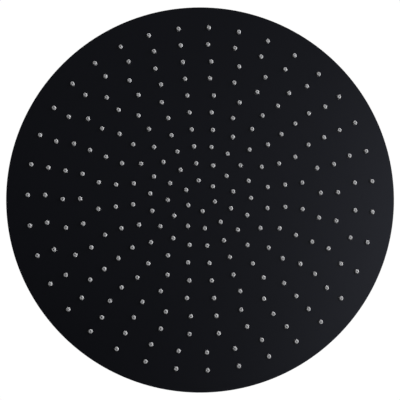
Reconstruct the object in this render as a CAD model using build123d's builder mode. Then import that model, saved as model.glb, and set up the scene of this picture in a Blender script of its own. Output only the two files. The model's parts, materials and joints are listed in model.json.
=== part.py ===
from build123d import *
import math
import os

# A rain shower head: a thin round spray head of two welded sheets, hung on a ball swivel.
# Sizes are in millimetres. +Z points up the supply arm and the spray face looks down along -Z.
# The origin lies in the mouth of the inlet thread, on the axis of the union nut.

os.makedirs("parts", exist_ok=True)

# Spray head
head_radius = 150.0
face_thickness = 1.2
back_thickness = 1.0
rim_width = 9.0
rim_round = 0.5
chamber_height = 7.0
shoulder_height = 2.6
shoulder_run = 2.6
crown_margin = 8.0
crown_bend = 24.0
shoulder_bend = 3.0
foot_bend = 2.0

# Nozzles, in evenly spaced rings about the axis that all start on one radial line
ring_counts = (6, 12, 18, 20, 24, 24, 30, 30, 35, 35)
ring_start_angle = 90.0
first_ring_radius = 12.0
field_margin = 4.4
nozzle_root_radius = 1.8
nozzle_tip_radius = 1.35
nozzle_drop = 2.0
nozzle_clearance = 0.08
jet_radius = 0.35
strip_width = 6.4
strip_thickness = 0.9

# Pillars that tie the two sheets together against the water pressure
pillar_count = 8
pillar_radius = 2.0

# Union nut with a half inch pipe thread
thread_radius = 10.48
thread_depth = 9.5
nut_wall = 2.0
nut_chamfer_angle = 30.0
nut_chamfer_margin = 0.3
nut_pocket_depth = 5.2
nut_lip = 2.3

# Washer, screen and clip on the stem's end, inside the nut
washer_play = 1.2
washer_thickness = 2.0
washer_drop = 0.2
washer_overhang = 1.6
washer_grip = 0.9
pocket_play = 0.6
screen_wall = 1.3
screen_thickness = 0.5
screen_clearance = 0.1
mesh_pitch = 1.7
mesh_hole = 1.1
clip_thickness = 1.2
clip_reach = 1.2
clip_gap_angle = 40.0
clip_clearance = 0.15
groove_depth = 0.9

# Ball swivel
ball_radius = 12.0
ball_land = 0.9
neck_radius = 6.5
neck_taper = 1.6
stem_wall = 2.0
stem_below_nut = 1.0
turn_clearance = 0.25
swivel_clearance = 0.1
tilt_limit = 15.0
mouth_spare_angle = 3.0
swing_gap = 2.4

# Socket: hub, seat seal, slip ring and collar nut
socket_clearance = 0.3
outlet_margin = 2.5
hub_rise = 1.2
hub_wall = 2.7
hub_floor = 3.0
hub_flange_radius = 24.0
hub_flange_thickness = 2.5
hub_fillet = 1.2
hub_edge_round = 0.6
seal_web = 0.6
seal_span_angle = 27.5
slip_ring_wall = 1.4
lip_angle = 8.0
lip_height = 0.9
mouth_flare = 0.9
collar_wall = 2.1
collar_round = 2.6
collar_chamfer = 0.5
collar_gap = 1.5
flute_count = 18
flute_radius = 1.6
flute_depth = 0.5

# Radii that follow from the sizes above
rim_inner_radius = head_radius - rim_width
last_ring_radius = rim_inner_radius - field_margin - strip_width / 2
ring_pitch = (last_ring_radius - first_ring_radius) / (len(ring_counts) - 1)
crown_radius = hub_flange_radius + crown_margin
washer_radius = thread_radius - washer_play
nut_pocket_radius = washer_radius + pocket_play
stem_radius = washer_radius - washer_overhang
groove_radius = stem_radius - groove_depth
screen_radius = stem_radius - screen_wall
water_radius = neck_radius - stem_wall
outlet_radius = water_radius + outlet_margin
ball_end_radius = outlet_radius + ball_land
seat_radius = ball_radius + swivel_clearance
socket_radius = ball_radius + socket_clearance
hub_radius = socket_radius + hub_wall
slip_ring_radius = socket_radius + slip_ring_wall
collar_bore = hub_radius + swivel_clearance
collar_radius = collar_bore + collar_wall

# Angles on the ball, measured from its upper pole
mouth_angle = math.asin(neck_radius / ball_radius) + math.radians(tilt_limit + mouth_spare_angle)
ledge_angle = mouth_angle + math.radians(lip_angle)
seal_hole_angle = math.pi - math.asin(outlet_radius / seat_radius)
seal_rim_angle = seal_hole_angle - math.radians(seal_span_angle)

# Height that the collar nut's shoulder swings up to, over the ball's centre, at the tilt limit
collar_rise = seat_radius * math.cos(mouth_angle) + lip_height
swing_angle = math.radians(tilt_limit)
swing_rise = (
    (collar_radius - collar_round) * math.sin(swing_angle)
    + (collar_rise - collar_round) * math.cos(swing_angle)
    + collar_round
)

# Levels, from the mouth of the thread down to the nozzle tips
lip_top = -thread_depth - nut_pocket_depth
nut_bottom = lip_top - nut_lip
stem_top = -thread_depth - washer_drop - washer_thickness
screen_seat = stem_top - screen_thickness
clip_bottom = lip_top + clip_clearance
ball_centre = nut_bottom - swing_gap - swing_rise
hub_top = ball_centre + hub_rise
seal_floor = ball_centre + seat_radius * math.cos(seal_hole_angle) - seal_web
hub_bottom = seal_floor - hub_floor
flange_top = hub_bottom + hub_flange_thickness
collar_bottom = flange_top + collar_gap
collar_top = ball_centre + collar_rise
face_inner = hub_bottom - back_thickness - chamber_height
rim_top = face_inner + back_thickness
face_outer = face_inner - face_thickness
nozzle_tip = face_outer - nozzle_drop


# Radius of a nozzle ring, counted from the middle
def ring_radius(index):
    return first_ring_radius + index * ring_pitch


# Point of the ball's seat at an angle from the upper pole, in the XZ plane
def seat_point(angle):
    return (seat_radius * math.sin(angle), ball_centre + seat_radius * math.cos(angle))


# Arc along the ball's seat between two such angles
def seat_arc(first_angle, last_angle):
    middle_angle = (first_angle + last_angle) / 2
    ThreePointArc(seat_point(first_angle), seat_point(middle_angle), seat_point(last_angle))


# Upper side of the pressed back plate, from the outlet to the rim, in the XZ plane
def back_line():
    FilletPolyline(
        (outlet_radius, hub_bottom),
        (crown_radius, hub_bottom),
        (rim_inner_radius - shoulder_run, rim_top + shoulder_height),
        (rim_inner_radius, rim_top),
        (head_radius, rim_top),
        radius=[crown_bend, shoulder_bend, foot_bend],
    )


# Union nut: a hexagon with turned chamfers, a threaded mouth and a lip that hangs on the stem's clip
with BuildPart() as union_nut:
    flat_radius = thread_radius + nut_wall
    corner_radius = flat_radius / math.cos(math.pi / 6)
    chamfer_radius = flat_radius - nut_chamfer_margin
    chamfer_height = (corner_radius - chamfer_radius) * math.tan(math.radians(nut_chamfer_angle))
    with BuildSketch(Plane.XY.offset(nut_bottom)):
        RegularPolygon(flat_radius, 6, major_radius=False)
    extrude(amount=-nut_bottom)
    with BuildSketch(Plane.XZ):
        with BuildLine():
            Polyline(
                (0, 0),
                (chamfer_radius, 0),
                (corner_radius, -chamfer_height),
                (corner_radius, nut_bottom + chamfer_height),
                (chamfer_radius, nut_bottom),
                (0, nut_bottom),
                close=True,
            )
        make_face()
    revolve(axis=Axis.Z, mode=Mode.INTERSECT)
    with BuildSketch(Plane.XY.offset(-thread_depth)):
        Circle(thread_radius)
    extrude(amount=thread_depth, mode=Mode.SUBTRACT)
    with BuildSketch(Plane.XY.offset(lip_top)):
        Circle(nut_pocket_radius)
    extrude(amount=nut_pocket_depth, mode=Mode.SUBTRACT)
    with BuildSketch(Plane.XY.offset(nut_bottom)):
        Circle(stem_radius + turn_clearance)
    extrude(amount=nut_lip, mode=Mode.SUBTRACT)
union_nut.part.label = "union_nut"
export_step(union_nut.part, "parts/union_nut.step")

# Inlet washer on the stem's end, just below the thread
with BuildPart() as inlet_washer:
    with BuildSketch(Plane.XY.offset(stem_top)):
        Circle(washer_radius)
        Circle(screen_radius - washer_grip, mode=Mode.SUBTRACT)
    extrude(amount=washer_thickness)
inlet_washer.part.label = "inlet_washer"
export_step(inlet_washer.part, "parts/inlet_washer.step")

# Filter screen in the recess of the stem's end, held down by the washer
with BuildPart() as filter_screen:
    mesh_limit = water_radius - mesh_hole / 2
    mesh_count = 2 * int(mesh_limit / mesh_pitch) + 1
    mesh_grid = GridLocations(mesh_pitch, mesh_pitch, mesh_count, mesh_count).local_locations
    with BuildSketch(Plane.XY.offset(screen_seat)):
        Circle(screen_radius)
        with Locations([place for place in mesh_grid if place.position.length < mesh_limit]):
            Rectangle(mesh_hole, mesh_hole, mode=Mode.SUBTRACT)
    extrude(amount=screen_thickness)
filter_screen.part.label = "filter_screen"
export_step(filter_screen.part, "parts/filter_screen.step")

# Split clip in the stem's groove, which carries the union nut's lip
with BuildPart() as stem_clip:
    with BuildSketch(Plane.XZ):
        with BuildLine():
            Polyline(
                (groove_radius + clip_clearance, clip_bottom),
                (stem_radius + clip_reach, clip_bottom),
                (stem_radius + clip_reach, clip_bottom + clip_thickness),
                (groove_radius + clip_clearance, clip_bottom + clip_thickness),
                close=True,
            )
        make_face()
    revolve(axis=Axis.Z, revolution_arc=360 - clip_gap_angle)
stem_clip.part.label = "stem_clip"
export_step(stem_clip.part, "parts/stem_clip.step")

# Stem and ball, turned in one piece and bored for the water
with BuildPart() as ball_stem:
    screen_seat_radius = screen_radius + screen_clearance
    groove_top = clip_bottom + clip_thickness + clip_clearance
    groove_bottom = clip_bottom - clip_clearance
    taper_top = nut_bottom - stem_below_nut
    ball_top = ball_centre + math.sqrt(ball_radius**2 - neck_radius**2)
    ball_end = ball_centre - math.sqrt(ball_radius**2 - ball_end_radius**2)
    with BuildSketch(Plane.XZ):
        with BuildLine():
            Polyline(
                (screen_seat_radius, stem_top),
                (stem_radius, stem_top),
                (stem_radius, groove_top),
                (groove_radius, groove_top),
                (groove_radius, groove_bottom),
                (stem_radius, groove_bottom),
                (stem_radius, taper_top),
                (neck_radius, taper_top - neck_taper),
                (neck_radius, ball_top),
            )
            ThreePointArc((neck_radius, ball_top), (ball_radius, ball_centre), (ball_end_radius, ball_end))
            Polyline(
                (ball_end_radius, ball_end),
                (water_radius, ball_end),
                (water_radius, screen_seat),
                (screen_seat_radius, screen_seat),
                (screen_seat_radius, stem_top),
            )
        make_face()
    revolve(axis=Axis.Z)
ball_stem.part.label = "ball_stem"
export_step(ball_stem.part, "parts/ball_stem.step")

# Slip ring between the ball's upper half and the collar nut
with BuildPart() as slip_ring:
    slip_ring_top = seat_point(ledge_angle)[1] - swivel_clearance
    slip_ring_bottom = hub_top + swivel_clearance
    upper_angle = math.acos((slip_ring_top - ball_centre) / seat_radius)
    lower_angle = math.acos((slip_ring_bottom - ball_centre) / seat_radius)
    with BuildSketch(Plane.XZ):
        with BuildLine():
            seat_arc(upper_angle, lower_angle)
            Polyline(
                seat_point(lower_angle),
                (slip_ring_radius, slip_ring_bottom),
                (slip_ring_radius, slip_ring_top),
                seat_point(upper_angle),
            )
        make_face()
    revolve(axis=Axis.Z)
slip_ring.part.label = "slip_ring"
export_step(slip_ring.part, "parts/slip_ring.step")

# Seat seal under the ball, on the floor of the hub's socket
with BuildPart() as seat_seal:
    seal_radius = socket_radius - swivel_clearance
    seal_bottom = seal_floor + swivel_clearance
    with BuildSketch(Plane.XZ):
        with BuildLine():
            seat_arc(seal_rim_angle, seal_hole_angle)
            Polyline(
                seat_point(seal_hole_angle),
                (outlet_radius, seal_bottom),
                (seal_radius, seal_bottom),
                (seal_radius, seat_point(seal_rim_angle)[1]),
                seat_point(seal_rim_angle),
            )
        make_face()
    revolve(axis=Axis.Z)
seat_seal.part.label = "seat_seal"
export_step(seat_seal.part, "parts/seat_seal.step")

# Hub: the threaded socket that is welded to the crown of the back plate
with BuildPart() as hub:
    with BuildSketch(Plane.XY.offset(hub_bottom)):
        Circle(hub_flange_radius)
    extrude(amount=hub_flange_thickness)
    with BuildSketch(Plane.XY.offset(flange_top)):
        Circle(hub_radius)
    extrude(amount=hub_top - flange_top)
    flange_edges = hub.edges().filter_by(GeomType.CIRCLE).group_by(Axis.Z)[1].sort_by(SortBy.RADIUS)
    fillet(flange_edges[0], hub_fillet)
    rim_edges = hub.edges().filter_by(GeomType.CIRCLE).sort_by(SortBy.RADIUS)[-2:]
    fillet(rim_edges.sort_by(Axis.Z)[-1], hub_edge_round)
    with BuildSketch(Plane.XY.offset(seal_floor)):
        Circle(socket_radius)
    extrude(amount=hub_top - seal_floor, mode=Mode.SUBTRACT)
    with BuildSketch(Plane.XY.offset(hub_bottom)):
        Circle(outlet_radius)
    extrude(amount=hub_floor, mode=Mode.SUBTRACT)
hub.part.label = "hub"
export_step(hub.part, "parts/hub.step")

# Collar nut: screws on to the hub and holds the ball in, with a grip of shallow flutes
with BuildPart() as collar_nut:
    pocket_radius = slip_ring_radius + swivel_clearance
    pocket_bottom = hub_top + swivel_clearance
    mouth_radius = seat_point(mouth_angle)[0] + mouth_flare
    with BuildSketch(Plane.XZ):
        with BuildLine():
            seat_arc(ledge_angle, mouth_angle)
            Polyline(
                seat_point(mouth_angle),
                (mouth_radius, collar_top),
                (collar_radius, collar_top),
                (collar_radius, collar_bottom),
                (collar_bore, collar_bottom),
                (collar_bore, pocket_bottom),
                (pocket_radius, pocket_bottom),
                (pocket_radius, seat_point(ledge_angle)[1]),
                seat_point(ledge_angle),
            )
        make_face()
    revolve(axis=Axis.Z)
    top_edges = collar_nut.edges().filter_by(GeomType.CIRCLE).group_by(Axis.Z)[-1]
    fillet(top_edges.sort_by(SortBy.RADIUS)[-1], collar_round)
    bottom_edges = collar_nut.edges().filter_by(GeomType.CIRCLE).group_by(Axis.Z)[0]
    chamfer(bottom_edges.sort_by(SortBy.RADIUS)[-1], collar_chamfer)
    with BuildSketch(Plane.XY.offset(collar_bottom)):
        with PolarLocations(collar_radius + flute_radius - flute_depth, flute_count):
            Circle(flute_radius)
    extrude(amount=collar_top - collar_bottom, mode=Mode.SUBTRACT)
collar_nut.part.label = "collar_nut"
export_step(collar_nut.part, "parts/collar_nut.step")

# Back plate: a pressed sheet with a flat crown, a shallow cone, a shoulder and a flat rim
with BuildPart() as back_plate:
    with BuildSketch(Plane.XZ):
        with BuildLine():
            back_line()
            offset(amount=back_thickness, side=Side.RIGHT)
        make_face()
    revolve(axis=Axis.Z)
    rim_edges = back_plate.edges().filter_by(GeomType.CIRCLE).sort_by(SortBy.RADIUS)[-2:]
    fillet(rim_edges.sort_by(Axis.Z)[-1], rim_round)
back_plate.part.label = "back_plate"
export_step(back_plate.part, "parts/back_plate.step")

# Face plate: a flat sheet with one hole for each nozzle, welded to the back plate's rim
with BuildPart() as face_plate:
    with BuildSketch(Plane.XY.offset(face_outer)):
        Circle(head_radius)
        for index, count in enumerate(ring_counts):
            with PolarLocations(ring_radius(index), count, ring_start_angle):
                Circle(nozzle_root_radius + nozzle_clearance, mode=Mode.SUBTRACT)
    extrude(amount=face_thickness)
    rim_edges = face_plate.edges().filter_by(GeomType.CIRCLE).sort_by(SortBy.RADIUS)[-2:]
    fillet(rim_edges.sort_by(Axis.Z)[0], rim_round)
face_plate.part.label = "face_plate"
export_step(face_plate.part, "parts/face_plate.step")

# Support pillars between the sheets, cut to the slope of the back plate's underside
with BuildPart() as support_pillars:
    middle_ring = len(ring_counts) // 2
    pillar_circle = (ring_radius(middle_ring - 1) + ring_radius(middle_ring)) / 2
    with BuildSketch(Plane.XY.offset(face_inner)):
        with PolarLocations(pillar_circle, pillar_count, ring_start_angle):
            Circle(pillar_radius)
    extrude(amount=chamber_height + back_thickness)
    with BuildSketch(Plane.XZ):
        with BuildLine():
            back_line()
            Polyline(
                (head_radius, rim_top),
                (head_radius, face_inner),
                (outlet_radius, face_inner),
                (outlet_radius, hub_bottom),
            )
        make_face()
    revolve(axis=Axis.Z, mode=Mode.INTERSECT)
    add(back_plate.part, mode=Mode.SUBTRACT)
support_pillars.part.label = "support_pillars"
export_step(support_pillars.part, "parts/support_pillars.step")

# Nozzle rings: each is one soft moulding, a strip behind the face plate with its nozzles through the holes
for index, count in enumerate(ring_counts):
    ring_name = f"nozzle_ring_{index + 1:02d}"
    with BuildPart() as nozzle_ring:
        with BuildSketch(Plane.XY.offset(face_inner)):
            Circle(ring_radius(index) + strip_width / 2)
            Circle(ring_radius(index) - strip_width / 2, mode=Mode.SUBTRACT)
        extrude(amount=strip_thickness)
        with BuildSketch(Plane.XY.offset(face_outer)):
            with PolarLocations(ring_radius(index), count, ring_start_angle):
                Circle(nozzle_root_radius)
        extrude(amount=face_thickness)
        with Locations((0, 0, nozzle_tip)):
            with PolarLocations(ring_radius(index), count, ring_start_angle):
                Cone(
                    nozzle_tip_radius,
                    nozzle_root_radius,
                    nozzle_drop,
                    align=(Align.CENTER, Align.CENTER, Align.MIN),
                )
        with BuildSketch(Plane.XY.offset(nozzle_tip)):
            with PolarLocations(ring_radius(index), count, ring_start_angle):
                Circle(jet_radius)
        extrude(amount=face_inner + strip_thickness - nozzle_tip, mode=Mode.SUBTRACT)
    nozzle_ring.part.label = ring_name
    export_step(nozzle_ring.part, f"parts/{ring_name}.step")
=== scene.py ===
import json
import math

import bmesh
import bpy
import numpy as np
from mathutils import Matrix, Vector
from mathutils.geometry import delaunay_2d_cdt


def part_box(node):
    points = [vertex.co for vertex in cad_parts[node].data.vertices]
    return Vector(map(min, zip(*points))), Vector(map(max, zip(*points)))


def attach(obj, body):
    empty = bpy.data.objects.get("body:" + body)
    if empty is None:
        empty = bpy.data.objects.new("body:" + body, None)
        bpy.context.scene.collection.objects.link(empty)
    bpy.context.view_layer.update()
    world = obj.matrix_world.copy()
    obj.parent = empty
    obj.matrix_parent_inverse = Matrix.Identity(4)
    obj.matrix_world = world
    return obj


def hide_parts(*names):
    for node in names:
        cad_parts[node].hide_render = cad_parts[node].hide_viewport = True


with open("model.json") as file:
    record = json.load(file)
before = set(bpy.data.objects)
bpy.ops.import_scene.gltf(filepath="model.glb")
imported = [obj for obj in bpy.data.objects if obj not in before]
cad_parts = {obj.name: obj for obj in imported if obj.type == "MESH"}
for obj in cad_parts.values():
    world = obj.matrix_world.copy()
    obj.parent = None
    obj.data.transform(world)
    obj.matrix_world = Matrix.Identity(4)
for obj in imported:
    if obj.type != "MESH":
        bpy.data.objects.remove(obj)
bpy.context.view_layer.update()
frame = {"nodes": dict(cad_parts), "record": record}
nodes = frame["nodes"]

MM = 0.001

# Levels and radii that the frame gives
face_low, face_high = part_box("face_plate")
head_radius = face_high.x
face_outer = face_low.z
face_inner = face_high.z
face_centre = Vector((0, 0, face_outer))
strip_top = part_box("nozzle_ring_01")[1].z
nozzle_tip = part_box("nozzle_ring_01")[0].z
rim_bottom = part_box("back_plate")[0].z
hub_low, hub_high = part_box("hub")
screen_low, screen_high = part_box("filter_screen")
inlet = frame["record"]["mounts"][0]["dims"]

# Spray face and nozzles
ring_counts = (6, 12, 18, 20, 24, 24, 30, 30, 35, 35)
ring_start = math.radians(90)
strip_width = 6.4 * MM
nozzle_root_radius = 1.8 * MM
nozzle_tip_radius = 1.35 * MM
nozzle_clearance = 0.08 * MM
nozzle_dome_height = 0.45 * MM
nozzle_flat_radius = 1.1 * MM
jet_radius = 0.35 * MM
jet_lip = 0.1 * MM
hole_lip = 0.2 * MM
rim_round = 0.5 * MM
rim_seam = 0.12 * MM

# Pressed back plate
back_thickness = 1.0 * MM
rim_width = 9.0 * MM
shoulder_height = 2.6 * MM
shoulder_run = 2.6 * MM
crown_margin = 8.0 * MM
crown_bend = 24.0 * MM
shoulder_bend = 3.0 * MM
foot_bend = 2.0 * MM
outlet_radius = 7.0 * MM

# Half inch pipe thread in the nut; it runs out over a share of a turn
pipe_pitch = 1.814 * MM
pipe_ridge = 1.0 * MM
pipe_flank = math.radians(27.5)
pipe_crest = 0.34 * MM
pipe_crest_round = 0.12 * MM
thread_lead_in = 0.5 * MM
thread_run_out = 0.3

# Woven filter
wire_pitch = 0.72 * MM
wire_radius = 0.115 * MM
filter_rim = 0.75 * MM
filter_round = 0.15 * MM

# Weld bead round the hub's flange: its ripples are a share of its radius high, and bow by an angle
bead_radius = 0.7 * MM
bead_ripple = 0.12
bead_ripples = 116
bead_bow = 2.4

# How far thread and bead reach into what carries them
sink = 0.03 * MM

# Fineness of the meshes
rim_segments = 256
nozzle_segments = 24
filter_segments = 96
rim_steps = 6
dome_steps = 7
lip_steps = 3
bend_steps = 8
thread_steps = 96
wire_sides = 6
wire_steps = 5
bead_steps = 8
bead_points = 9
sharp_angle = math.radians(65)

# What the triangulation is asked for: triangles inside the outer row, with equal points merged, in mm
triangles_inside = 1
merge_distance = 1e-7

# Part of its range in which most of a noise texture's values lie
noise_low = 0.3
noise_high = 0.7

# Studio: a floor well below the head, a white backdrop and soft lights; lengths are in metres
floor_level = -1.6
floor_reach = 80.0
backdrop_strength = 1.02
ambient_strength = 0.045
ambient_colour = (0.96, 0.97, 1.0, 1.0)
ceiling_height = 2.0
ceiling_strength = 3.2
ceiling_spread = math.radians(80)
panel_size = (1.6, 1.0)
face_light_size = (0.9, 0.9)

# Photograph's camera: it looks up at the face from below, a little off the axis
photo_side = 400
focal_pixels = 1032.8
camera_tilt = math.radians(-6.529)
camera_pan = math.radians(0.256)
camera_roll = math.radians(7.47)
camera_offset = Vector((0.161, 3.091, -799.467)) * MM
sensor_width = 36.0
nearest_seen = 0.01


# A new material with its node tree and its shader
def new_finish(name):
    material = bpy.data.materials.new(name)
    material.use_nodes = True
    return material, material.node_tree, material.node_tree.nodes["Principled BSDF"]


# Noise in the object's own coordinates, with so many waves to the metre
def noise(tree, scale, detail=2.0, stretch=(1.0, 1.0, 1.0)):
    coordinates = tree.nodes.new("ShaderNodeTexCoord")
    mapping = tree.nodes.new("ShaderNodeMapping")
    mapping.inputs["Scale"].default_value = stretch
    texture = tree.nodes.new("ShaderNodeTexNoise")
    texture.inputs["Scale"].default_value = scale
    texture.inputs["Detail"].default_value = detail
    tree.links.new(coordinates.outputs["Object"], mapping.inputs["Vector"])
    tree.links.new(mapping.outputs["Vector"], texture.inputs["Vector"])
    return texture.outputs["Fac"]


# Colour that wanders between a dark and a light tone with a value
def wander_colour(tree, value, dark, light, socket):
    ramp = tree.nodes.new("ShaderNodeValToRGB")
    ramp.color_ramp.elements[0].position = noise_low
    ramp.color_ramp.elements[1].position = noise_high
    ramp.color_ramp.elements[0].color = (*dark, 1.0)
    ramp.color_ramp.elements[1].color = (*light, 1.0)
    tree.links.new(value, ramp.inputs["Fac"])
    tree.links.new(ramp.outputs["Color"], socket)


# Number that wanders between two ends with a value
def wander_number(tree, value, low, high, socket):
    spread = tree.nodes.new("ShaderNodeMapRange")
    spread.inputs["From Min"].default_value = noise_low
    spread.inputs["From Max"].default_value = noise_high
    spread.inputs["To Min"].default_value = low
    spread.inputs["To Max"].default_value = high
    tree.links.new(value, spread.inputs["Value"])
    tree.links.new(spread.outputs["Result"], socket)


# Relief of a given height, with the grain of a value
def relief(tree, value, height, shader):
    bump = tree.nodes.new("ShaderNodeBump")
    bump.inputs["Strength"].default_value = 1.0
    bump.inputs["Distance"].default_value = height
    tree.links.new(value, bump.inputs["Height"])
    tree.links.new(bump.outputs["Normal"], shader.inputs["Normal"])


def satin_black_sheet():
    material, tree, shader = new_finish("satin_black_sheet")
    cloud = noise(tree, scale=9.0, detail=3.0)
    grain = noise(tree, scale=1900.0)
    dark = (0.0015, 0.0016, 0.0025)
    light = (0.0019, 0.0020, 0.0031)
    wander_colour(tree, cloud, dark, light, shader.inputs["Base Color"])
    wander_number(tree, grain, 0.34, 0.41, shader.inputs["Roughness"])
    shader.inputs["Specular IOR Level"].default_value = 0.34
    shader.inputs["Specular Tint"].default_value = (0.775, 0.82, 1.0, 1.0)
    relief(tree, grain, 0.006 * MM, shader)
    return material


def satin_black_fitting():
    material, tree, shader = new_finish("satin_black_fitting")
    turned = noise(tree, scale=60.0, detail=3.0, stretch=(1.0, 1.0, 60.0))
    grain = noise(tree, scale=2300.0)
    dark = (0.0058, 0.0060, 0.0076)
    light = (0.0078, 0.0080, 0.0098)
    wander_colour(tree, turned, dark, light, shader.inputs["Base Color"])
    wander_number(tree, turned, 0.30, 0.38, shader.inputs["Roughness"])
    shader.inputs["Specular IOR Level"].default_value = 0.3
    relief(tree, grain, 0.004 * MM, shader)
    return material


def grey_silicone():
    material, tree, shader = new_finish("grey_silicone")
    cloud = noise(tree, scale=320.0, detail=3.0)
    grain = noise(tree, scale=2600.0)
    dark = (0.37, 0.37, 0.38)
    light = (0.43, 0.43, 0.44)
    wander_colour(tree, cloud, dark, light, shader.inputs["Base Color"])
    wander_number(tree, grain, 0.42, 0.54, shader.inputs["Roughness"])
    shader.inputs["Subsurface Weight"].default_value = 0.25
    shader.inputs["Subsurface Radius"].default_value = (1.0, 0.95, 0.9)
    shader.inputs["Subsurface Scale"].default_value = 0.6 * MM
    shader.inputs["Specular IOR Level"].default_value = 0.4
    relief(tree, grain, 0.004 * MM, shader)
    return material


def black_rubber():
    material, tree, shader = new_finish("black_rubber")
    speck = noise(tree, scale=1500.0, detail=4.0)
    dark = (0.012, 0.012, 0.012)
    light = (0.024, 0.024, 0.025)
    wander_colour(tree, speck, dark, light, shader.inputs["Base Color"])
    wander_number(tree, speck, 0.62, 0.78, shader.inputs["Roughness"])
    relief(tree, speck, 0.012 * MM, shader)
    return material


def white_plastic():
    material, tree, shader = new_finish("white_plastic")
    cloud = noise(tree, scale=140.0)
    dark = (0.70, 0.69, 0.65)
    light = (0.78, 0.77, 0.73)
    wander_colour(tree, cloud, dark, light, shader.inputs["Base Color"])
    wander_number(tree, cloud, 0.32, 0.42, shader.inputs["Roughness"])
    relief(tree, cloud, 0.01 * MM, shader)
    return material


def plain_steel():
    material, tree, shader = new_finish("plain_steel")
    drawn = noise(tree, scale=260.0, detail=3.0, stretch=(1.0, 1.0, 12.0))
    dark = (0.50, 0.50, 0.49)
    light = (0.62, 0.62, 0.61)
    shader.inputs["Metallic"].default_value = 1.0
    wander_colour(tree, drawn, dark, light, shader.inputs["Base Color"])
    wander_number(tree, drawn, 0.24, 0.36, shader.inputs["Roughness"])
    relief(tree, drawn, 0.006 * MM, shader)
    return material


def pale_floor():
    material, tree, shader = new_finish("pale_floor")
    cloud = noise(tree, scale=2.5, detail=4.0)
    dark = (0.895, 0.895, 0.895)
    light = (0.925, 0.925, 0.92)
    wander_colour(tree, cloud, dark, light, shader.inputs["Base Color"])
    wander_number(tree, cloud, 0.7, 0.85, shader.inputs["Roughness"])
    return material


# The finish of each slot, also on the nodes that stay as the frame has them
finishes = {
    "black_sheet": satin_black_sheet(),
    "black_fitting": satin_black_fitting(),
    "grey_silicone": grey_silicone(),
    "black_rubber": black_rubber(),
    "white_plastic": white_plastic(),
    "plain_steel": plain_steel(),
}
for node in nodes.values():
    node.data.materials[0] = finishes[node.data.materials[0].name]


# Points of a circle about (x, y), at a level
def circle(radius, level, segments, centre=(0.0, 0.0)):
    angles = np.arange(segments) * 2 * math.pi / segments
    return np.column_stack((
        centre[0] + radius * np.cos(angles),
        centre[1] + radius * np.sin(angles),
        np.full(segments, level),
    ))


# Quarter ellipse in (radius, level), which leaves its first point upright and reaches its last point level
def quarter_round(first, last, steps):
    turns = np.linspace(0, math.pi / 2, steps + 1)
    return [
        (
            last[0] + (first[0] - last[0]) * math.cos(turn),
            first[1] + (last[1] - first[1]) * math.sin(turn),
        )
        for turn in turns
    ]


# Points along a polyline with rounded corners, as (radius, level) pairs
def bent_line(corners, bends, steps):
    line = [Vector(corners[0])]
    for before, corner, after, bend in zip(corners, corners[1:], corners[2:], bends):
        corner = Vector(corner)
        back = (Vector(before) - corner).normalized()
        ahead = (Vector(after) - corner).normalized()
        half = back.angle(ahead) / 2
        middle = corner + (back + ahead).normalized() * bend / math.sin(half)
        first = corner + back * bend / math.tan(half) - middle
        last = corner + ahead * bend / math.tan(half) - middle
        start = math.atan2(first.y, first.x)
        sweep = math.remainder(math.atan2(last.y, last.x) - start, 2 * math.pi)
        angles = start + sweep * np.linspace(0, 1, steps + 1)
        line.extend(middle + bend * Vector((math.cos(angle), math.sin(angle))) for angle in angles)
    return [*line, Vector(corners[-1])]


# The same line, moved to its right by a distance
def beside(line, distance):
    moved = []
    for before, point, after in zip([line[0], *line], line, [*line[1:], line[-1]]):
        back = (point - before).normalized()
        ahead = (after - point).normalized()
        along = (back + ahead).normalized()
        stretch = along.dot(ahead) if ahead.length else along.dot(back)
        moved.append(point + Vector((along.y, -along.x)) * distance / stretch)
    return moved


# Points at one angle about the axis, from (radius, level) pairs
def radial_section(angle, pairs):
    return [(radius * math.cos(angle), radius * math.sin(angle), level) for radius, level in pairs]


# Makes the faces of a closed mesh look outwards
def turn_outwards(mesh):
    work = bmesh.new()
    work.from_mesh(mesh)
    bmesh.ops.recalc_face_normals(work, faces=work.faces)
    work.to_mesh(mesh)
    work.free()
    mesh.update()


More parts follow.
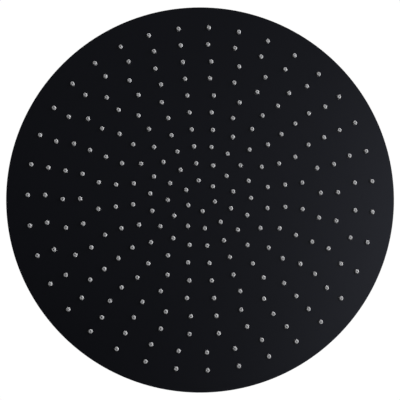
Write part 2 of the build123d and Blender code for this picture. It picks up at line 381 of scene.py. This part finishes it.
# Collects the rows and faces of one piece, whose mesh is closed
class Shell:
    def __init__(self):
        self.points = []
        self.faces = []
        self.flat = []

    def add_row(self, points):
        start = len(self.points)
        self.points.extend(points)
        return list(range(start, len(self.points)))

    def add_face(self, corners, flat):
        self.faces.append(corners)
        self.flat.append(flat)

    # Smooth quads between two closed rows
    def join(self, low, high):
        count = len(low)
        for here in range(count):
            there = (here + 1) % count
            self.add_face((low[here], low[there], high[there], high[here]), False)

    # Rows along a (radius, level) outline about a centre, joined in turn
    def turn(self, outline, segments, centre=(0.0, 0.0)):
        rows = [self.add_row(circle(radius, level, segments, centre)) for radius, level in outline]
        for low, high in zip(rows, rows[1:]):
            self.join(low, high)
        return rows

    # The same for a closed outline, which makes a ring
    def ring(self, outline, segments):
        rows = self.turn(outline, segments)
        self.join(rows[-1], rows[0])

    # Closed sections along an open path, joined in turn and capped at both ends
    def tube(self, sections):
        rows = [self.add_row(section) for section in sections]
        for low, high in zip(rows, rows[1:]):
            self.join(low, high)
        self.add_face(rows[0][::-1], True)
        self.add_face(rows[-1], True)

    # Closed sections round a closed path
    def loop(self, sections):
        rows = [self.add_row(section) for section in sections]
        for low, high in zip(rows, rows[1:] + rows[:1]):
            self.join(low, high)

    # Flat triangles between an outer row and the round rows of the holes in it; a triangle with all its
    # corners on one hole lies across that hole and is left out
    def fill(self, outer, holes, looks_up):
        rows = (outer, *holes)
        used = [index for row in rows for index in row]
        place = {index: number for number, index in enumerate(used)}
        hole_of = {index: number for number, row in enumerate(holes) for index in row}
        edges = [(place[row[here]], place[row[here - 1]]) for row in rows for here in range(len(row))]
        flat_points = [Vector(self.points[index][:2]) / MM for index in used]
        made = delaunay_2d_cdt(flat_points, edges, [], triangles_inside, merge_distance)
        _, _, triangles, sources, _, _ = made
        origin = [used[numbers[0]] for numbers in sources]
        for triangle in triangles:
            corners = [origin[number] for number in triangle]
            touched = {hole_of.get(index, "outer") for index in corners}
            if len(touched) > 1 or "outer" in touched:
                self.add_face(corners if looks_up else corners[::-1], True)

    # The piece itself, which rides a body and may replace nodes of the frame
    def make(self, name, body, slot, replaced=()):
        mesh = bpy.data.meshes.new(name)
        mesh.from_pydata([tuple(point) for point in self.points], [], self.faces)
        turn_outwards(mesh)
        mesh.set_sharp_from_angle(angle=sharp_angle)
        mesh.polygons.foreach_set("use_smooth", [not flat for flat in self.flat])
        mesh.materials.append(finishes[slot])
        piece = bpy.data.objects.new(name, mesh)
        bpy.context.scene.collection.objects.link(piece)
        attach(piece, body)
        if replaced:
            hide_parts(*replaced)


# Radius of a nozzle ring, from the outer edge of its strip
def ring_radius(number):
    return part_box(f"nozzle_ring_{number:02d}")[1].x - strip_width / 2


# Centres of the nozzles of a ring
def nozzle_centres(number):
    count = ring_counts[number - 1]
    angles = ring_start + np.arange(count) * 2 * math.pi / count
    return ring_radius(number) * np.column_stack((np.cos(angles), np.sin(angles)))


# Back plate: a pressed sheet with a flat crown, a shallow cone, a shoulder and a flat rim
def make_back_plate():
    rim_top = rim_bottom + back_thickness
    rim_inner = head_radius - rim_width
    corners = [
        (outlet_radius, hub_low.z),
        (hub_high.x + crown_margin, hub_low.z),
        (rim_inner - shoulder_run, rim_top + shoulder_height),
        (rim_inner, rim_top),
        (head_radius, rim_top),
    ]
    upper = bent_line(corners, (crown_bend, shoulder_bend, foot_bend), bend_steps)
    lower = beside(upper, back_thickness)
    edge = quarter_round((head_radius, rim_top - rim_round), (head_radius - rim_round, rim_top), rim_steps)
    sheet = Shell()
    sheet.ring([*upper[:-1], *edge[::-1], *lower[::-1]], rim_segments)
    sheet.make("pressed_back", "head", "black_sheet", ["back_plate"])


# Spray face: a sheet with a rolled lip at every hole and a rounded rim, with a seam to the back plate
def make_spray_face():
    sheet = Shell()
    rim_foot = (head_radius, face_outer + rim_round)
    rim = quarter_round(rim_foot, (head_radius - rim_round, face_outer), rim_steps)
    seam = [(head_radius, face_inner - rim_seam), (head_radius - rim_seam, face_inner)]
    rim_rows = sheet.turn([*rim[::-1], *seam], rim_segments)
    hole_radius = nozzle_root_radius + nozzle_clearance
    lip_foot = (hole_radius, face_outer + hole_lip)
    lip = quarter_round(lip_foot, (hole_radius + hole_lip, face_outer), lip_steps)
    front_holes = []
    back_holes = []
    for number in range(1, len(ring_counts) + 1):
        for centre in nozzle_centres(number):
            rows = sheet.turn([(hole_radius, face_inner), *lip], nozzle_segments, centre)
            back_holes.append(rows[0])
            front_holes.append(rows[-1])
    sheet.fill(rim_rows[0], front_holes, False)
    sheet.fill(rim_rows[-1], back_holes, True)
    sheet.make("spray_face", "head", "black_sheet", ["face_plate"])


# One ring of nozzles on its strip: tapered, domed at the tip and bored through
def make_nozzle_ring(number):
    ring = Shell()
    outer = ring_radius(number) + strip_width / 2
    inner = outer - strip_width
    outer_rows = ring.turn([(outer, face_inner), (outer, strip_top)], rim_segments)
    inner_rows = ring.turn([(inner, strip_top), (inner, face_inner)], rim_segments)
    taper = (nozzle_root_radius - nozzle_tip_radius) / (face_outer - nozzle_tip)
    dome_foot = (nozzle_tip_radius + taper * nozzle_dome_height, nozzle_tip + nozzle_dome_height)
    dome = quarter_round(dome_foot, (nozzle_flat_radius, nozzle_tip), dome_steps)
    lip_foot = (jet_radius, nozzle_tip + jet_lip)
    lip = quarter_round(lip_foot, (jet_radius + jet_lip, nozzle_tip), lip_steps)
    root = [(nozzle_root_radius, face_outer), (nozzle_root_radius, face_inner)]
    outline = [(jet_radius, strip_top), *lip, *dome[::-1], *root]
    tops = []
    roots = []
    for centre in nozzle_centres(number):
        rows = ring.turn(outline, nozzle_segments, centre)
        tops.append(rows[0])
        roots.append(rows[-1])
    ring.fill(outer_rows[0], [inner_rows[-1], *roots], False)
    ring.fill(outer_rows[-1], [inner_rows[0], *tops], True)
    ring.make(f"soft_nozzles_{number:02d}", "head", "grey_silicone", [f"nozzle_ring_{number:02d}"])


# Thread in the mouth of the nut: one helical ridge that grows out of the bore and runs out into it again
def make_inlet_thread():
    bore = inlet["r_mm"] * MM
    turns = (inlet["length_mm"] * MM - thread_lead_in) / pipe_pitch - 1
    foot = pipe_crest / 2 + pipe_ridge * math.tan(pipe_flank)
    half_crest = pipe_crest / 2 - pipe_crest_round
    sections = []
    for step in range(int(turns * thread_steps) + 1):
        turn = step / thread_steps
        level = -thread_lead_in - (turn + 0.5) * pipe_pitch
        height = pipe_ridge * min(1.0, turn / thread_run_out, (turns - turn) / thread_run_out)
        crest = bore - max(height, sink)
        shoulder = crest + pipe_crest_round * height / pipe_ridge
        pairs = [
            (bore + sink, level - foot),
            (bore + sink, level + foot),
            (shoulder, level + pipe_crest / 2),
            (crest, level + half_crest),
            (crest, level - half_crest),
            (shoulder, level - pipe_crest / 2),
        ]
        sections.append(radial_section(-2 * math.pi * turn, pairs))
    ridge = Shell()
    ridge.tube(sections)
    ridge.make("inlet_thread", "nut", "black_fitting")


# Sections of one wire of the filter, which waves over and under the wires that cross it
def wire_sections(offset, half_length, phase, across):
    steps = max(2, int(2 * half_length / wire_pitch * wire_steps))
    middle = (screen_low.z + screen_high.z) / 2
    angles = np.arange(wire_sides) * 2 * math.pi / wire_sides
    sections = []
    for along in np.linspace(-half_length, half_length, steps + 1):
        height = middle + phase * wire_radius * math.cos(math.pi * along / wire_pitch)
        side = offset + wire_radius * np.cos(angles)
        level = height + wire_radius * np.sin(angles)
        run = np.full(wire_sides, along)
        sections.append(np.column_stack((side, run, level) if across else (run, side, level)))
    return sections


# Filter: a plain weave of steel wire in a pressed rim
def make_filter():
    weave = Shell()
    outer = screen_high.x
    inner = outer - filter_rim
    reach = outer - filter_rim / 2
    lanes = int(reach / wire_pitch)
    for lane in range(-lanes, lanes + 1):
        offset = lane * wire_pitch
        half_length = math.sqrt(reach**2 - offset**2)
        phase = 1 if lane % 2 else -1
        weave.tube(wire_sections(offset, half_length, phase, False))
        weave.tube(wire_sections(offset, half_length, -phase, True))
    low = screen_low.z
    high = screen_high.z
    low_outer = quarter_round((outer, low + filter_round), (outer - filter_round, low), lip_steps)
    high_outer = quarter_round((outer, high - filter_round), (outer - filter_round, high), lip_steps)
    low_inner = quarter_round((inner, low + filter_round), (inner + filter_round, low), lip_steps)
    high_inner = quarter_round((inner, high - filter_round), (inner + filter_round, high), lip_steps)
    weave.ring([*low_outer[::-1], *high_outer, *high_inner[::-1], *low_inner], filter_segments)
    weave.make("woven_filter", "stem", "plain_steel", ["filter_screen"])


# Weld bead in the corner between the hub's flange and the back plate, with the ripples of its passes
def make_hub_weld():
    corner_radius = hub_high.x - sink
    corner_level = hub_low.z - sink
    sections = []
    for step in range(bead_ripples * bead_steps):
        angle = 2 * math.pi * step / (bead_ripples * bead_steps)
        pairs = [(corner_radius, corner_level)]
        for lean in np.linspace(0, math.pi / 2, bead_points):
            ripple = math.cos(bead_ripples * angle + bead_bow * math.cos(2 * lean))
            size = bead_radius * (1 + bead_ripple * ripple)
            pairs.append((corner_radius + size * math.cos(lean), corner_level + size * math.sin(lean)))
        sections.append(radial_section(angle, pairs))
    bead = Shell()
    bead.loop(sections)
    bead.make("hub_weld", "head", "black_sheet")


make_back_plate()
make_spray_face()
for ring_number in range(1, len(ring_counts) + 1):
    make_nozzle_ring(ring_number)
make_inlet_thread()
make_filter()
make_hub_weld()


# Floor, which neither shows in the spray face nor lights it
def make_floor():
    mesh = bpy.data.meshes.new("floor")
    corners = [(-1, -1), (1, -1), (1, 1), (-1, 1)]
    points = [(x * floor_reach, y * floor_reach, floor_level) for x, y in corners]
    mesh.from_pydata(points, [], [(0, 1, 2, 3)])
    mesh.materials.append(pale_floor())
    floor = bpy.data.objects.new("floor", mesh)
    bpy.context.scene.collection.objects.link(floor)
    floor.visible_glossy = False
    floor.visible_diffuse = False


# The world is white behind the object and a dim grey as a source of light
def make_world():
    world = bpy.data.worlds.new("studio")
    bpy.context.scene.world = world
    world.use_nodes = True
    tree = world.node_tree
    backdrop = tree.nodes["Background"]
    backdrop.inputs["Color"].default_value = (1.0, 1.0, 1.0, 1.0)
    backdrop.inputs["Strength"].default_value = backdrop_strength
    ambient = tree.nodes.new("ShaderNodeBackground")
    ambient.inputs["Color"].default_value = ambient_colour
    ambient.inputs["Strength"].default_value = ambient_strength
    path = tree.nodes.new("ShaderNodeLightPath")
    mix = tree.nodes.new("ShaderNodeMixShader")
    tree.links.new(path.outputs["Is Camera Ray"], mix.inputs["Fac"])
    tree.links.new(ambient.outputs["Background"], mix.inputs[1])
    tree.links.new(backdrop.outputs["Background"], mix.inputs[2])
    tree.links.new(mix.outputs["Shader"], tree.nodes["World Output"].inputs["Surface"])


# Light panel that the camera doesn't see, aimed at the middle of the spray face; it may leave out the
# diffuse or the glossy part of what it lights
def soft_light(name, place, size, power, diffuse=True, glossy=True):
    light = bpy.data.lights.new(name, "AREA")
    light.shape = "RECTANGLE"
    light.size, light.size_y = size
    light.energy = power
    lamp = bpy.data.objects.new(name, light)
    lamp.location = place
    lamp.rotation_euler = (face_centre - Vector(place)).to_track_quat("-Z", "Y").to_euler()
    lamp.visible_camera = False
    lamp.visible_diffuse = diffuse
    lamp.visible_glossy = glossy
    bpy.context.scene.collection.objects.link(lamp)


# Soft light from the whole ceiling
def make_ceiling():
    light = bpy.data.lights.new("ceiling", "SUN")
    light.energy = ceiling_strength
    light.angle = ceiling_spread
    lamp = bpy.data.objects.new("ceiling", light)
    lamp.location = (0, 0, ceiling_height)
    bpy.context.scene.collection.objects.link(lamp)


make_floor()
make_world()
make_ceiling()

# Four panels above the head light its back
soft_light("far_panel", place=(-1.5, 1.5, 0.9), size=panel_size, power=11)
soft_light("near_panel", place=(1.5, -1.5, 0.7), size=panel_size, power=11)
soft_light("left_panel", place=(-1.5, -1.5, 0.8), size=panel_size, power=18)
soft_light("right_panel", place=(1.5, 1.5, 0.8), size=panel_size, power=18)

# Lights below the head; the photograph's right is -X, and its top is +Y. Two panels light the nozzles
# from the right without gloss, and the three others show only in the gloss
soft_light("key_below", place=(-1.044, 0.38, -0.352), size=face_light_size, power=24.5, glossy=False)
soft_light("fill_below", place=(-1.044, -0.38, -0.352), size=face_light_size, power=8.9, glossy=False)
soft_light("sheen_below", place=(-0.714, -0.191, -0.935), size=face_light_size, power=5.43, diffuse=False)
soft_light("top_below", place=(0.0, 0.431, -1.12), size=face_light_size, power=0.5, diffuse=False)
soft_light("bottom_below", place=(0.0, -1.066, -0.485), size=face_light_size, power=4.79, diffuse=False)


# Camera, placed about the middle of the rim
def make_camera():
    data = bpy.data.cameras.new("photo_camera")
    data.sensor_width = sensor_width
    data.lens = sensor_width * focal_pixels / photo_side
    data.clip_start = nearest_seen
    camera = bpy.data.objects.new("photo_camera", data)
    turn = (
        Matrix.Rotation(math.pi, 3, "Y")
        @ Matrix.Rotation(-camera_roll, 3, "Z")
        @ Matrix.Rotation(-camera_pan, 3, "Y")
        @ Matrix.Rotation(-camera_tilt, 3, "X")
    )
    rim_middle = Vector((0, 0, (face_outer + rim_bottom + back_thickness) / 2))
    camera.matrix_world = Matrix.Translation(rim_middle - turn @ camera_offset) @ turn.to_4x4()
    bpy.context.scene.collection.objects.link(camera)
    bpy.context.scene.camera = camera


make_camera()
bpy.context.scene.view_settings.view_transform = "Standard"
